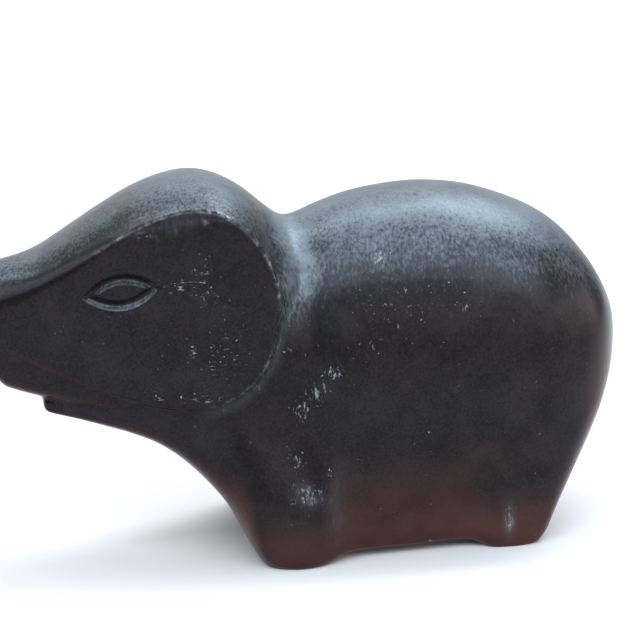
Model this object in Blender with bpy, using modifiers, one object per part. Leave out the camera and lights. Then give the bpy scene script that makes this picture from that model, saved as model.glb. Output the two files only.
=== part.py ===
"""A small stylised elephant, cast in one piece of dark metal and planed flat on both cheeks.

It is drawn as a boat is: smooth lines in side view and in plan give the section at each station along the
animal, and each mass is a loft through its sections. The masses are then fused and rubbed smooth, as a
founder's pattern is. The soles and the eyes are cut last. The head points to -X, and +Z is up.
"""

import math

import bmesh
import bpy
import numpy as np
from mathutils import Matrix, Vector
from mathutils.bvhtree import BVHTree
from mathutils.kdtree import KDTree

# Driving sizes, in metres
HEIGHT = 0.063  # soles to the top of the crown
BODY_WIDTH = 0.0396  # across the flanks
CHEEK_WIDTH = 0.0312  # across the planed cheeks, at the back of the ears
TRUNK_LENGTH = 0.024  # from the bend to the tip
EYE_LENGTH = 0.0102  # corner to corner, along the middle of the cut
EYE_HEIGHT = 0.0041
EYE_CUT_WIDTH = 0.0015
EYE_CUT_DEPTH = 0.0005
NOSTRIL_WIDTH = 0.0032
NOSTRIL_DEPTH = 0.0012

# The lines below are shares of the height, on a grid of 63 squares to it that starts behind the fore foot
GRID = HEIGHT / 63

METAL_COLOUR = (0.035, 0.036, 0.040, 1)
METAL_METALLIC = 0.6
METAL_ROUGHNESS = 0.42

# How the pattern is rubbed smooth
VOXEL = 0.0008
NECK_PASSES = 70  # on the valley behind the head
RUB_PASSES = 7  # all over
KEPT_SHARE = 0.13  # of the triangles that the smooth pattern has

# How closely the lines are followed
LINE_STEPS = 24  # from one point of a line to the next
BODY_STATIONS = 110
HEAD_STATIONS = 70
TRUNK_STATIONS = 36
LIP_STATIONS = 24
QUARTER_POINTS = 27
ARC_POINTS = 12
CHEEK_POINTS = 9
EDGE_POINTS = 300  # along the top of the cheek, and as many along its foot
WEIGHT_STEPS = 20
FIRST_STATION = 0.03  # radians, which keeps the stations off the very ends


def line(*points):
    """A smooth curve through points (x, value), as a function of x."""
    p = np.array(points, float)
    slope = np.gradient(p, axis=0)
    slope[0], slope[-1] = p[1] - p[0], p[-1] - p[-2]
    t = np.linspace(0, 1, LINE_STEPS, endpoint=False)[:, None]
    spans = [
        (2 * t**3 - 3 * t**2 + 1) * a + (t**3 - 2 * t**2 + t) * m
        + (3 * t**2 - 2 * t**3) * b + (t**3 - t**2) * n
        for a, b, m, n in zip(p, p[1:], slope, slope[1:])
    ]
    dense = np.vstack([*spans, p[-1:]])
    return lambda x: np.interp(x, dense[:, 0], dense[:, 1])


# Body, with the throat and the lower lip
LIP_END = -46.4
RUMP = 49.4
BACK = line(
    (-46.4, 29.0), (-41, 32), (-30, 39.5), (-20, 48), (-12, 52.6), (-8, 54.0), (-4.4, 54.6),
    (-1.5, 55.6), (2.3, 56.8), (7.3, 57.9), (14, 58.6), (20, 58.4), (27, 57.1), (35, 53.9), (40.2, 50.3),
    (44.5, 45.4), (47.2, 41.0), (48.8, 37.2), (49.4, 33.6),
)
UNDERSIDE = line(
    (-46.4, 27.0), (-45.4, 26.2), (-41.6, 25.0), (-37, 23.4), (-32.4, 21.6), (-28, 19.3), (-23.5, 15.6),
    (-18.8, 10.2), (-16.1, 5.6), (-14.4, 2.2), (-13.2, 0.4), (-11.8, -0.5), (-9.6, -0.9), (-5.0, -0.9),
    (-2.6, -0.2), (-0.4, 0.5), (3, 0.8), (12, 0.8), (20.5, 0.9), (23.2, 0.2), (25.6, -0.8), (31.4, -0.8),
    (33.6, 0), (35.0, 1.6), (38.8, 8.0), (42.3, 14.2), (45.4, 20.2), (47.7, 25.6), (49.0, 29.6),
    (49.4, 33.6),
)
FLANK = line(
    (-46.4, 28.2), (-30, 28), (-15, 31), (-5, 30), (5, 25), (15, 23), (30, 23), (40, 26.5), (46, 30.4),
    (49.4, 33.6),
)
FLANK_PLAN = line(
    (-46.4, 0.345), (-45.4, 0.375), (-40, 0.44), (-30, 0.54), (-20, 0.645), (-13, 0.70), (-8, 0.735),
    (-4, 0.78), (-1, 0.845), (2, 0.895), (6, 0.935), (12, 0.97), (20, 1.0), (28, 0.99), (34, 0.95),
    (39, 0.865), (42.4, 0.765), (45.2, 0.63), (47.4, 0.45), (48.9, 0.23), (49.4, 0.0),
)
FOOT_TO_FLANK = line(
    (-46.4, 0.95), (-30, 0.97), (-22, 1.04), (-16, 1.17), (-11.6, 1.27), (-7.6, 1.29), (-3.6, 1.19),
    (-0.6, 1.04), (2.4, 0.91), (8, 0.85), (17, 0.80), (21, 0.815), (24, 0.85), (28, 0.88), (33, 0.90),
    (38, 0.92), (49.4, 0.92),
)
LEG_LEAN = line(
    (-12, -3.5), (3, 0), (14, 3), (24, 8.5), (40, 9),
)  # along X, from a foot to the top of its leg
LEG_TOP = 19.0
FOOT_TOP = 5.0
BACK_FULLNESS = line((-46.4, 2.6), (-10, 2.0), (0, 2.15), (8, 2.4), (30, 2.4), (49.4, 2.2))
BELLY_FULLNESS = line(
    (-46.4, 6), (-36, 4.6), (-20, 4.4), (-15.5, 6), (-11, 15), (0, 17), (25, 17), (31, 15), (35, 7),
    (39, 4.4), (44, 3.4), (49.4, 2.6),
)
GROOVE_TOP = line(
    (-20, 8), (-8, 7.5), (0, 4), (22, 4), (28, 6.5), (40, 6.5),
)  # between the left and right legs
GROOVE_HALF_WIDTH = 3.4

# Head, with the trunk before it is bent
TRUNK_BEND_START = -51.0
TRUNK_BEND_RADIUS = 26.0
TRUNK_ROUND = 3.2  # length of the rounding at the tip
TRUNK_ROUND_FULLNESS = 2.4
TIP_SHARE = 0.3  # of the section's area, left at the very tip
TRUNK_CROWDING = 1.5  # how far its stations crowd towards the tip
CHEEK_BACK = -9.2
CHEEK_BACK_HEIGHT = 45.0
HEAD_BACK = -2.0
CROWN = line(
    (-76, 47.2), (-66, 48.3), (-58, 49.5), (-52, 50.4), (-47.4, 51.4), (-44.1, 52.8), (-39.2, 55.7),
    (-34.2, 58.6), (-29.3, 61.1), (-24.4, 62.6), (-20.2, 63.0), (-16.2, 62.0), (-12.4, 59.9),
    (-9.2, 57.2), (-7.2, 55.5), (-5.4, 53.9), (-3.8, 51.4), (-2.5, 48.2), (-2.0, 45.0),
)
CHEEK_TOP = line(
    (-76, 43.4), (-64, 42.9), (-56, 43.0), (-50, 44.8), (-44, 48.0), (-38.9, 51.4), (-35, 53.9),
    (-30.9, 56.2), (-26.1, 58.2), (-22.5, 58.9), (-18.9, 58.7), (-16.2, 57.5), (-13, 54.6),
    (-10.6, 50.7), (-9.5, 47.4), (-9.2, 45.0),
)
CHEEK_LOW = line(
    (-76, 43.4), (-64, 42.4), (-57, 41.0), (-52.7, 39.2), (-44.4, 34.4), (-37.7, 31.0), (-33.1, 29.1),
    (-28.4, 27.8), (-23.7, 27.1), (-18.8, 27.7), (-14.7, 30.0), (-11.4, 34.0), (-9.8, 39.2),
    (-9.2, 45.0),
)
JAW = line(
    (-76, 39.4), (-66, 37.8), (-58, 36.2), (-52.6, 34.6), (-44.4, 31.2), (-37.7, 28.4), (-30, 26.0),
    (-23.7, 24.8), (-18, 25.4), (-13, 27.8), (-9, 32.6), (-5.6, 36.6), (-3.2, 40.6), (-2.0, 45.0),
)
HEAD_PLAN = line(
    (-76, 0.33), (-70, 0.36), (-60, 0.44), (-50, 0.55), (-30, 0.77), (-12, 0.975), (-9.2, 1.0),
    (-8.2, 0.99), (-5.0, 0.88), (-2.0, 0.74),
)
CREASE = line(
    (-76, 90), (-48, 90), (-42, 84), (-36, 70), (-30, 56), (-23, 48), (-9.6, 46), (-8.4, 66), (-6, 84),
    (-2.0, 90),
)  # degrees: how far the crown turns before it meets the flat cheek
JAW_CREASE = line(
    (-76, 90), (-50, 86), (-40, 82), (-10, 80), (-8.4, 82), (-5, 88), (-2, 90),
)  # the same for the jaw

# Upper lip, under the trunk
UPPER_LIP_TIP = -53.4
UPPER_LIP_BACK = -27.0
UPPER_LIP_PLAN = line((-53.4, 0.44), (-51.6, 0.49), (-42, 0.60), (-34, 0.69), (-27, 0.76))
UPPER_LIP_LOW = line((-53.4, 32.0), (-52.2, 30.8), (-46, 28.6), (-38, 26.6), (-27, 25.0))
UPPER_LIP_TOP = line((-53.4, 39.2), (-46, 38.4), (-40, 37), (-27, 36))
LIP_FULLNESS = 4.0

EYE_AT = (-33.4, 46.5)
EYE_TILT = 7.5  # degrees: the front corner is the lower one
EYE_POINTS = 13  # along each lid
NOSTRIL_HEIGHT = 42.8

# The valley where head and body meet, and how much it is rubbed
VALLEY_NEAR = 1.5  # from its middle: rubbed in full
VALLEY_FAR = 6.0  # not rubbed
VALLEY_START = -40
VALLEY_FULL = -24  # along the animal, from where it is rubbed in full
VALLEY_SHARE = line((15, 0.1), (33, 0.1), (44, 1), (48, 1), (56, 0.5), (64, 0.5))  # by height
CHEEK_EDGE_KEPT = (-0.1, 0.7)  # the edge stays crisp as far out as this


def station_places(start, end, count):
    """Places along the animal, closer together towards both ends."""
    angles = np.linspace(FIRST_STATION, math.pi - FIRST_STATION, count)
    return (start + end) / 2 - (end - start) / 2 * np.cos(angles)


def both_sides(x, half):
    """A ring at x from half a section, given from the top down as rows of (across, height)."""
    half = np.asarray(half, float)
    across = np.concatenate([-half[:, 0], half[-2:0:-1, 0]])
    height = np.concatenate([half[:, 1], half[-2:0:-1, 1]])
    return np.column_stack([np.full_like(across, x), across, height])


def quarter(fullness):
    """Points on a quarter of a superellipse, as (across, up), from the top to the side."""
    a = np.linspace(0, math.pi / 2, QUARTER_POINTS)
    reach = (np.sin(a) ** fullness + np.cos(a) ** fullness) ** (-1 / fullness)
    return reach * np.sin(a), reach * np.cos(a)


def body_section(x):
    top, bottom = BACK(x), UNDERSIDE(x)
    flank = min(max(FLANK(x), bottom + 0.1), top - 0.1)
    full = BODY_WIDTH / 2 / GRID
    across, up = quarter(BACK_FULLNESS(x))
    upper = np.column_stack([full * FLANK_PLAN(x) * across, flank + (top - flank) * up])
    across, down = quarter(BELLY_FULLNESS(x))
    height = flank - (flank - bottom) * down
    near_foot = np.clip((flank - height) / max(flank - FOOT_TOP, 1), 0, 1)
    near_foot = near_foot * near_foot * (3 - 2 * near_foot)
    lean = LEG_LEAN(x) * np.clip(height / LEG_TOP, 0, 1)
    width = FLANK_PLAN(x) * (1 + (FOOT_TO_FLANK(x - lean) - 1) * near_foot)
    lower = np.column_stack([full * width * across, height])[-2::-1]
    rise = max(GROOVE_TOP(x) - bottom, 0)
    lower[:, 1] += rise * np.clip(1 - (lower[:, 0] / GROOVE_HALF_WIDTH) ** 2, 0, 1) ** 0.5
    return both_sides(x, np.vstack([upper, lower]))


def body():
    return [body_section(x) for x in station_places(LIP_END, RUMP, BODY_STATIONS)]


def cheek_arc(half_width, cheek, middle, turn):
    """The round over the crown or under the jaw, out to the cheek, which it meets at an angle."""
    a = np.linspace(0, turn, ARC_POINTS)
    across = half_width * np.sin(a) / math.sin(turn)
    height = cheek + (middle - cheek) * (np.cos(a) - math.cos(turn)) / (1 - math.cos(turn))
    return np.column_stack([across, height])


def head_section(x):
    turn, jaw_turn = math.radians(CREASE(x)), math.radians(JAW_CREASE(x))
    half_width = CHEEK_WIDTH / 2 / GRID * HEAD_PLAN(x)
    top, low = CHEEK_TOP(x), CHEEK_LOW(x)
    if x > CHEEK_BACK:
        half_width *= math.sqrt(max(0.0, 1 - ((x - CHEEK_BACK) / (HEAD_BACK - CHEEK_BACK)) ** 2))
        top = low = CHEEK_BACK_HEIGHT
    flat = np.linspace(top, low, CHEEK_POINTS + 2)[1:-1]
    cheek = np.column_stack([np.full_like(flat, half_width), flat])
    crown = cheek_arc(half_width, top, CROWN(x), turn)
    jaw = cheek_arc(half_width, low, JAW(x), jaw_turn)
    return both_sides(x, np.vstack([crown, cheek, jaw[::-1]]))


def bent_up(ring):
    """The ring where it lies once the trunk is bent."""
    middle = (CROWN(TRUNK_BEND_START) + JAW(TRUNK_BEND_START)) / 2
    x, y, z = ring.T
    angle = np.clip((TRUNK_BEND_START - x) / TRUNK_BEND_RADIUS, 0, None)
    radius = TRUNK_BEND_RADIUS - (z - middle)
    past = angle > 0
    bent_x = np.where(past, TRUNK_BEND_START - radius * np.sin(angle), x)
    bent_z = np.where(past, middle + TRUNK_BEND_RADIUS - radius * np.cos(angle), z)
    return np.column_stack([bent_x, y, bent_z])


def head():
    tip = TRUNK_BEND_START - TRUNK_LENGTH / GRID
    shares = np.linspace(0, 1, TRUNK_STATIONS, endpoint=False)
    trunk = tip + (TRUNK_BEND_START - tip) * shares**TRUNK_CROWDING
    rings = []
    for x in [*trunk, *station_places(TRUNK_BEND_START, HEAD_BACK, HEAD_STATIONS)]:
        ring = head_section(x)
        inside = min((x - tip) / TRUNK_ROUND, 1)
        middle = ring.mean(axis=0)
        share = max(TIP_SHARE, 1 - (1 - inside) ** TRUNK_ROUND_FULLNESS)
        ring = middle + (ring - middle) * math.sqrt(share)
        rings.append(bent_up(ring))
    return rings


def upper_lip():
    across, up = quarter(LIP_FULLNESS)
    rings = []
    for x in np.linspace(UPPER_LIP_TIP, UPPER_LIP_BACK, LIP_STATIONS):
        half_width = CHEEK_WIDTH / 2 / GRID * UPPER_LIP_PLAN(x)
        middle = (UPPER_LIP_TOP(x) + UPPER_LIP_LOW(x)) / 2
        half_height = UPPER_LIP_TOP(x) - middle
        upper = np.column_stack([half_width * across, middle + half_height * up])
        lower = np.column_stack([half_width * across, middle - half_height * up])[-2::-1]
        rings.append(both_sides(x, np.vstack([upper, lower])))
    return rings


def add_loft(shell, rings):
    """Adds a closed skin through rings of points, each ring given in the same order."""
    rows = [[shell.verts.new(GRID * point) for point in ring] for ring in rings]
    for low, high in zip(rows, rows[1:]):
        for i in range(len(low)):
            j = (i + 1) % len(low)
            shell.faces.new((low[i], low[j], high[j], high[i]))
    shell.faces.new(rows[0][::-1])
    shell.faces.new(rows[-1])


def pattern(masses, collection):
    """Every mass of the animal in one mesh, overlapping where they join."""
    shell = bmesh.new()
    for rings in masses:
        add_loft(shell, rings)
    bmesh.ops.recalc_face_normals(shell, faces=shell.faces)
    mesh = bpy.data.meshes.new("elephant")
    shell.to_mesh(mesh)
    shell.free()
    elephant = bpy.data.objects.new("elephant", mesh)
    collection.objects.link(elephant)
    return elephant


def settle(obj):
    """Replaces the object's mesh by what its modifiers make of it."""
    bpy.context.view_layer.update()
    made = bpy.data.meshes.new_from_object(obj.evaluated_get(bpy.context.evaluated_depsgraph_get()))
    old = obj.data
    obj.modifiers.clear()
    obj.data = made
    bpy.data.meshes.remove(old)


def between(low, high, value):
    """0 below low, 1 above high, and a smooth step from one to the other."""
    t = np.clip((value - low) / (high - low), 0, 1)
    return t * t * (3 - 2 * t)


def away_from(rings, points):
    """How far points lie from the skin through these rings, on the grid."""
    skin = bmesh.new()
    add_loft(skin, rings)
    tree = BVHTree.FromBMesh(skin)
    skin.free()
    return np.array([tree.find_nearest(point)[3] for point in points.tolist()]) / GRID


def outside_cheek(x, z):
    """How far points lie outside the cheek's edge in side view, on the grid: less than 0 on the cheek."""
    along = np.linspace(TRUNK_BEND_START, CHEEK_BACK, EDGE_POINTS)
    heights = np.concatenate([CHEEK_TOP(along), CHEEK_LOW(along)])
    tree = KDTree(2 * EDGE_POINTS)
    for i, (edge_x, edge_z) in enumerate(zip([*along, *along], heights)):
        tree.insert((edge_x, edge_z, 0), i)
    tree.balance()
    away = np.array([tree.find((px, pz, 0))[2] for px, pz in zip(x.tolist(), z.tolist())])
    inside = (x < CHEEK_BACK) & (z < CHEEK_TOP(x)) & (z > CHEEK_LOW(x))
    return np.where(inside, -away, away)


def weigh_valley(obj, body_rings, head_rings):
    """A vertex group on the valley, which is where the skin lies close to both masses."""
    flat = np.empty(3 * len(obj.data.vertices))
    obj.data.vertices.foreach_get("co", flat)
    points = flat.reshape(-1, 3)
    x, _, z = (points / GRID).T
    from_valley = np.maximum(away_from(body_rings, points), away_from(head_rings, points))
    weights = (1 - between(VALLEY_NEAR, VALLEY_FAR, from_valley)) * between(VALLEY_START, VALLEY_FULL, x)
    weights *= between(*CHEEK_EDGE_KEPT, outside_cheek(x, z)) * VALLEY_SHARE(z)
    group = obj.vertex_groups.new(name="valley")
    steps = np.round(WEIGHT_STEPS * weights).astype(int)
    for step in range(1, WEIGHT_STEPS + 1):
        group.add(np.flatnonzero(steps == step).tolist(), step / WEIGHT_STEPS, "REPLACE")


def helper(name, mesh, cutters):
    """A cutter, which stays out of the render."""
    obj = bpy.data.objects.new(name, mesh)
    obj.display_type = "WIRE"
    cutters.objects.link(obj)
    return obj


def eye_cutter(side, cutters):
    """A closed almond of round wire that lies in the cheek, a little proud of it."""
    curve = bpy.data.curves.new(f"eye path {side}", "CURVE")
    curve.dimensions = "3D"
    curve.bevel_depth = EYE_CUT_WIDTH / 2
    curve.bevel_resolution = 1
    proud = EYE_CUT_WIDTH / 2 - EYE_CUT_DEPTH
    tilt = math.radians(EYE_TILT)
    half = np.linspace(-1, 1, EYE_POINTS)[:-1]
    along = EYE_LENGTH / 2 * np.concatenate([half, -half])
    up = EYE_HEIGHT / 2 * np.concatenate([1 - half**2, half**2 - 1])
    x = GRID * EYE_AT[0] + along * math.cos(tilt) - up * math.sin(tilt)
    z = GRID * EYE_AT[1] + along * math.sin(tilt) + up * math.cos(tilt)
    y = CHEEK_WIDTH / 2 * HEAD_PLAN(x / GRID) + proud
    spline = curve.splines.new("POLY")
    spline.points.add(len(x) - 1)
    spline.points.foreach_set("co", np.column_stack([x, side * y, z, np.ones_like(x)]).ravel())
    spline.use_cyclic_u = True
    path = bpy.data.objects.new("eye path", curve)
    mesh = bpy.data.meshes.new_from_object(path)
    bpy.data.objects.remove(path)
    return helper(f"eye cut {'left' if side < 0 else 'right'}", mesh, cutters)


def ground_cutter(cutters):
    """Everything under the soles."""
    shell = bmesh.new()
    bmesh.ops.create_cube(shell, size=4 * HEIGHT)
    bmesh.ops.translate(shell, verts=shell.verts, vec=(0, 0, -2 * HEIGHT))
    mesh = bpy.data.meshes.new("ground cut")
    shell.to_mesh(mesh)
    shell.free()
    return helper("ground cut", mesh, cutters)


def nostril_cutter(cutters):
    """A flattened ball that dimples the end of the trunk."""
    tip = bent_up(np.array([[TRUNK_BEND_START - TRUNK_LENGTH / GRID, 0, NOSTRIL_HEIGHT]]))[0]
    angle = TRUNK_LENGTH / GRID / TRUNK_BEND_RADIUS
    shell = bmesh.new()
    bmesh.ops.create_icosphere(shell, subdivisions=2, radius=0.5)
    bmesh.ops.scale(shell, verts=shell.verts, vec=(2 * NOSTRIL_DEPTH, NOSTRIL_WIDTH, NOSTRIL_WIDTH))
    place = Matrix.Translation(GRID * Vector(tip)) @ Matrix.Rotation(angle, 4, "Y")
    bmesh.ops.transform(shell, matrix=place, verts=shell.verts)
    mesh = bpy.data.meshes.new("nostril cut")
    shell.to_mesh(mesh)
    shell.free()
    return helper("nostril cut", mesh, cutters)


def dark_metal():
    metal = bpy.data.materials.new("dark metal")
    metal.use_nodes = True
    shader = metal.node_tree.nodes["Principled BSDF"]
    shader.inputs["Base Color"].default_value = METAL_COLOUR
    shader.inputs["Metallic"].default_value = METAL_METALLIC
    shader.inputs["Roughness"].default_value = METAL_ROUGHNESS
    return metal


def middle_along_x(obj):
    """Half way between the trunk's tip and the rump, as modelled."""
    bpy.context.view_layer.update()
    shaped = obj.evaluated_get(bpy.context.evaluated_depsgraph_get())
    ends = [corner[0] for corner in shaped.bound_box]
    return (min(ends) + max(ends)) / 2


def main():
    for obj in list(bpy.data.objects):
        bpy.data.objects.remove(obj)
    parts = bpy.data.collections.new("Elephant")
    cutters = bpy.data.collections.new("Cutters")
    cutters.hide_render = True
    for collection in (parts, cutters):
        bpy.context.scene.collection.children.link(collection)

    body_rings, head_rings = body(), head()
    elephant = pattern((body_rings, head_rings, upper_lip()), parts)
    fuse = elephant.modifiers.new("fuse", "REMESH")
    fuse.mode = "VOXEL"
    fuse.voxel_size = VOXEL
    settle(elephant)
    elephant.data.materials.append(dark_metal())
    weigh_valley(elephant, body_rings, head_rings)
    for name, passes, group in (("fill the valley", NECK_PASSES, "valley"), ("rub", RUB_PASSES, "")):
        rub = elephant.modifiers.new(name, "SMOOTH")
        rub.factor = 0.5
        rub.iterations = passes
        rub.vertex_group = group
    thin = elephant.modifiers.new("thin", "DECIMATE")
    thin.ratio = KEPT_SHARE
    eye_cutters = [eye_cutter(side, cutters) for side in (-1, 1)]
    for cutter in (ground_cutter(cutters), *eye_cutters, nostril_cutter(cutters)):
        cut = elephant.modifiers.new(cutter.name, "BOOLEAN")
        cut.object = cutter
        cut.solver = "EXACT"
        cutter.parent = elephant
    elephant.location.x = -middle_along_x(elephant)
    return elephant


if __name__ == "__main__":
    main()
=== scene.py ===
# %% [markdown]
# # A small cast elephant
#
# This lesson dresses a small metal elephant, made in one casting. The real one has a smooth barrel of a
# body, cheeks planed flat as if with a file, a chased line round each eye, and a dark patina rubbed pale
# where hands and shelves have touched it.
#
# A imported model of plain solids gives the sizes. Everything here is in metres, with +Z up and the trunk
# towards -X. The first cell reads that model, and keeps the box that it fills, so that the finer model
# can be held to it.

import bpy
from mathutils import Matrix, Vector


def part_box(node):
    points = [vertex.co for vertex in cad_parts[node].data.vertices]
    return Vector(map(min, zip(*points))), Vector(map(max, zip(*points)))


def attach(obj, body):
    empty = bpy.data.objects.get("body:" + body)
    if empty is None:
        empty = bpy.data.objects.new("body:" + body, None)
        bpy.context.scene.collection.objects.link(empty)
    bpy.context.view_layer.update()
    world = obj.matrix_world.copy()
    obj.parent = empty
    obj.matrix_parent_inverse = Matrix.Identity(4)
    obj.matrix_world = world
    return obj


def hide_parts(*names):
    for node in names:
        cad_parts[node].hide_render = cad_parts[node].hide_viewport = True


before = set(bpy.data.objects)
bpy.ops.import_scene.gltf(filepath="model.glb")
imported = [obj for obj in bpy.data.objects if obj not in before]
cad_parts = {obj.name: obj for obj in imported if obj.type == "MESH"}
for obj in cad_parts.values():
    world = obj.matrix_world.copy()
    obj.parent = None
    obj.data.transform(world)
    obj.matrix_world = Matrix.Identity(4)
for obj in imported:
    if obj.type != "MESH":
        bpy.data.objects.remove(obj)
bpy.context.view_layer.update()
lowest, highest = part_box("elephant")
size = highest - lowest
print("solid: %.1f x %.1f x %.1f mm" % tuple(1000 * s for s in size))

# %% Bring in Blender and its mathematics
import math

import bmesh
import bpy
import numpy as np
from mathutils import Matrix, Vector, noise
from mathutils.bvhtree import BVHTree
from mathutils.kdtree import KDTree

print("Blender", bpy.app.version_string)

# %% [markdown]
# ## Lines, as a shipwright draws them
#
# A body like this has no straight edge to measure from. It could be sculpted by hand, but then nobody
# could check a size. Instead it is drawn as a boat is: a few smooth lines, seen from the side and from
# above, give the shape of the section at each station along the animal. Each line is a curve through a
# few points (place, value).
#
# Places and heights are on a grid of 63 squares to the height, which starts behind the fore foot.

# %% A smooth line through a few points
GRID = size.z / 63.0
LINE_STEPS = 24  # from one point of a line to the next


def line(*points):
    """A smooth curve through points (x, value), as a function of x."""
    p = np.array(points, float)
    slope = np.gradient(p, axis=0)
    slope[0], slope[-1] = p[1] - p[0], p[-1] - p[-2]
    t = np.linspace(0, 1, LINE_STEPS, endpoint=False)[:, None]
    spans = [
        (2 * t**3 - 3 * t**2 + 1) * a + (t**3 - 2 * t**2 + t) * m
        + (3 * t**2 - 2 * t**3) * b + (t**3 - t**2) * n
        for a, b, m, n in zip(p, p[1:], slope, slope[1:])
    ]
    dense = np.vstack([*spans, p[-1:]])
    return lambda x: np.interp(x, dense[:, 0], dense[:, 1])


print("one square of the grid is %.2f mm" % (1000 * GRID))

# %% [markdown]
# The body line on top runs from the lower lip along the back to the rump, and the line below follows the
# throat, the chest and the feet. The feet go a little below the ground, where the soles are cut off flat
# later. Plan lines give half widths as shares of the widest place.

# %% Lines of the body
BODY_WIDTH = size.y
LIP_END = -46.4
RUMP = 49.4
BACK = line(
    (-46.4, 29.0), (-41, 32), (-30, 39.5), (-20, 48), (-12, 52.6), (-8, 54.0), (-4.4, 54.6),
    (-1.5, 55.6), (2.3, 56.8), (7.3, 57.9), (14, 58.6), (20, 58.4), (27, 57.1), (35, 53.9), (40.2, 50.3),
    (44.5, 45.4), (47.2, 41.0), (48.8, 37.2), (49.4, 33.6),
)
UNDERSIDE = line(
    (-46.4, 27.0), (-45.4, 26.2), (-41.6, 25.0), (-37, 23.4), (-32.4, 21.6), (-28, 19.3), (-23.5, 15.6),
    (-18.8, 10.2), (-16.1, 5.6), (-14.4, 2.2), (-13.2, 0.4), (-11.8, -0.5), (-9.6, -0.9), (-5.0, -0.9),
    (-2.6, -0.2), (-0.4, 0.5), (3, 0.8), (12, 0.8), (20.5, 0.9), (23.2, 0.2), (25.6, -0.8), (31.4, -0.8),
    (33.6, 0), (35.0, 1.6), (38.8, 8.0), (42.3, 14.2), (45.4, 20.2), (47.7, 25.6), (49.0, 29.6),
    (49.4, 33.6),
)
FLANK = line(
    (-46.4, 28.2), (-30, 28), (-15, 31), (-5, 30), (5, 25), (15, 23), (30, 23), (40, 26.5), (46, 30.4),
    (49.4, 33.6),
)
FLANK_PLAN = line(
    (-46.4, 0.345), (-45.4, 0.375), (-40, 0.44), (-30, 0.54), (-20, 0.645), (-13, 0.70), (-8, 0.735),
    (-4, 0.78), (-1, 0.845), (2, 0.895), (6, 0.935), (12, 0.97), (20, 1.0), (28, 0.99), (34, 0.95),
    (39, 0.865), (42.4, 0.765), (45.2, 0.63), (47.4, 0.45), (48.9, 0.23), (49.4, 0.0),
)
print("body from", LIP_END, "to", RUMP, "with its widest place", round(1000 * BODY_WIDTH, 1), "mm across")

# %% [markdown]
# The legs aren't separate pillars. They are swellings of the body near the ground, wider than the flank
# at the fore foot and narrower between the feet, and they lean as the limbs inside would. A second plan,
# at the height of the feet, says how wide the animal is there, and the section blends from one plan to
# the other.

# %% Lines of the legs
FOOT_TO_FLANK = line(
    (-46.4, 0.95), (-30, 0.97), (-22, 1.04), (-16, 1.17), (-11.6, 1.27), (-7.6, 1.29), (-3.6, 1.19),
    (-0.6, 1.04), (2.4, 0.91), (8, 0.85), (17, 0.80), (21, 0.815), (24, 0.85), (28, 0.88), (33, 0.90),
    (38, 0.92), (49.4, 0.92),
)
LEG_LEAN = line((-12, -3.5), (3, 0), (14, 3), (24, 8.5), (40, 9))  # along X, from foot to leg top
LEG_TOP = 19.0
FOOT_TOP = 5.0
BACK_FULLNESS = line((-46.4, 2.6), (-10, 2.0), (0, 2.15), (8, 2.4), (30, 2.4), (49.4, 2.2))
BELLY_FULLNESS = line(
    (-46.4, 6), (-36, 4.6), (-20, 4.4), (-15.5, 6), (-11, 15), (0, 17), (25, 17), (31, 15), (35, 7),
    (39, 4.4), (44, 3.4), (49.4, 2.6),
)
GROOVE_TOP = line((-20, 8), (-8, 7.5), (0, 4), (22, 4), (28, 6.5), (40, 6.5))  # under the belly
GROOVE_HALF_WIDTH = 3.4
print("the legs lean %.1f squares forward at the fore foot" % -LEG_LEAN(-12))

# %% [markdown]
# ## Sections
#
# A section is one closed ring of points, as if the animal were sliced across at a station. Half of it is
# drawn, from the middle of the back down to the middle of the belly, and mirrored. Circles would make a
# sausage, so the quarters are superellipses: one number, the fullness, takes them from a circle (2)
# towards a square (10 or more), which is what turns a round belly into the flat sole of a foot.

# %% Section of the body at a station
QUARTER_POINTS = 27
BODY_STATIONS = 150
FLANK_ROOM = 0.1  # squares that the flank keeps from the back and from the belly
FIRST_STATION = 0.03  # radians, which keeps the stations off the very ends


def both_sides(x, half):
    """A ring at x from half a section, given from the top down as rows of (across, height)."""
    half = np.asarray(half, float)
    across = np.concatenate([-half[:, 0], half[-2:0:-1, 0]])
    height = np.concatenate([half[:, 1], half[-2:0:-1, 1]])
    return np.column_stack([np.full_like(across, x), across, height])


def quarter(fullness):
    """Points on a quarter of a superellipse, as (across, up), from the top to the side."""
    a = np.linspace(0, math.pi / 2, QUARTER_POINTS)
    reach = (np.sin(a) ** fullness + np.cos(a) ** fullness) ** (-1 / fullness)
    return reach * np.sin(a), reach * np.cos(a)


def body_section(x):
    top, bottom = BACK(x), UNDERSIDE(x)
    flank = min(max(FLANK(x), bottom + FLANK_ROOM), top - FLANK_ROOM)
    full = BODY_WIDTH / 2 / GRID
    across, up = quarter(BACK_FULLNESS(x))
    upper = np.column_stack([full * FLANK_PLAN(x) * across, flank + (top - flank) * up])
    across, down = quarter(BELLY_FULLNESS(x))
    height = flank - (flank - bottom) * down
    near_foot = np.clip((flank - height) / max(flank - FOOT_TOP, 1), 0, 1)
    near_foot = near_foot * near_foot * (3 - 2 * near_foot)
    lean = LEG_LEAN(x) * np.clip(height / LEG_TOP, 0, 1)
    width = FLANK_PLAN(x) * (1 + (FOOT_TO_FLANK(x - lean) - 1) * near_foot)
    lower = np.column_stack([full * width * across, height])[-2::-1]
    rise = max(GROOVE_TOP(x) - bottom, 0)
    lower[:, 1] += rise * np.clip(1 - (lower[:, 0] / GROOVE_HALF_WIDTH) ** 2, 0, 1) ** 0.5
    return both_sides(x, np.vstack([upper, lower]))


def station_places(start, end, count):
    """Places along the animal, closer together towards both ends."""
    turn = np.linspace(FIRST_STATION, math.pi - FIRST_STATION, count)
    return (start + end) / 2 - (end - start) / 2 * np.cos(turn)


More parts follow.
